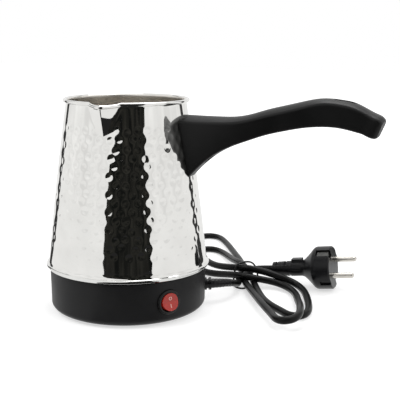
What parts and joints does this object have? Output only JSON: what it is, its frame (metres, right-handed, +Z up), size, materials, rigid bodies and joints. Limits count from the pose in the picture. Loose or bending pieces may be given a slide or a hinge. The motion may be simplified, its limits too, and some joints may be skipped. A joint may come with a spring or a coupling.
{
  "type": "electric turkish coffee maker",
  "caption": "Electric coffee pot with a narrowing hammered steel body, pouring lip, long arched side handle, round heater base with a rocker switch, and a tied mains cord with plug.",
  "frame": {"origin": "on the pot's axis at the surface that the appliance stands on", "axes": "+Z up, +X towards the handle; the spout points to about 84 degrees clockwise from +X seen from above"},
  "size_m": [0.2662, 0.2992, 0.1729],
  "materials": {
    "pot_steel": "hammered, polished",
    "ring_steel": "polished",
    "steel": "plain",
    "zinc_steel": "zinc plated",
    "aluminium": "cast",
    "black_plastic": "satin",
    "handle_plastic": "satin",
    "switch_black": "semi-gloss",
    "rocker_red": "translucent red",
    "ceramic": "ceramic",
    "copper": "copper",
    "brass": "plain",
    "nickel": "nickel plated",
    "lamp_glass": "clear",
    "rubber": "matt",
    "cord_black": "semi-matt PVC",
    "wire_brown": "PVC",
    "wire_white": "silicone",
    "wire_blue": "PVC",
    "wire_earth": "PVC"
  },
  "bodies": {
    "appliance": {"pot_body": "pot_steel", "pot_bottom": "steel", "trim_ring": "ring_steel", "base_housing": "black_plastic", "bottom_cover": "black_plastic", "foot_ring": "rubber", "cover_screws": "zinc_steel", "heat_plate": "aluminium", "heating_element": "steel", "element_insulators": "ceramic", "thermostat": "aluminium", "thermostat_clip": "zinc_steel", "thermal_fuse": "ceramic", "heat_shield": "zinc_steel", "mounting_studs": "zinc_steel", "stud_spacers": "steel", "stud_washers": "zinc_steel", "stud_nuts": "zinc_steel", "earth_tab": "brass", "handle_bracket": "steel", "handle": "handle_plastic", "handle_screw": "zinc_steel", "cord_bush": "rubber", "cord_clamp": "black_plastic", "clamp_screws": "zinc_steel", "switch_housing": "switch_black", "terminal_common": "brass", "terminal_load": "brass", "terminal_lamp": "brass", "switch_lamp": "lamp_glass", "live_wire": "wire_brown", "switched_wire": "wire_white", "link_wires": "wire_white", "neutral_wire": "wire_blue", "lamp_wire": "wire_blue", "earth_wire": "wire_earth", "cord_lead": "cord_black", "cord_hank": "cord_black", "cord_tie": "cord_black", "plug_lead": "cord_black", "plug_body": "rubber", "plug_pins": "nickel", "earth_contacts": "nickel"},
    "rocker": {"rocker": "rocker_red", "switch_plunger": "brass", "plunger_spring": "steel"},
    "contact_lever": {"contact_lever": "copper"}
  },
  "joints": [
    {"name": "rocker_pivot", "type": "hinge", "parent": "appliance", "child": "rocker", "pos_m": [0.05019, -0.0358, 0.01864], "axis": [0.5807, 0.8141, 0], "range_deg": [0, 22]},
    {"name": "lever_pivot", "type": "hinge", "parent": "appliance", "child": "contact_lever", "pos_m": [0.04189, -0.02988, 0.01864], "axis": [0.5807, 0.8141, 0], "range_deg": [-15.5, 0]}
  ],
  "couplings": [
    {"joint": "lever_pivot", "follows": "rocker_pivot", "ratio": -0.7}
  ]
}
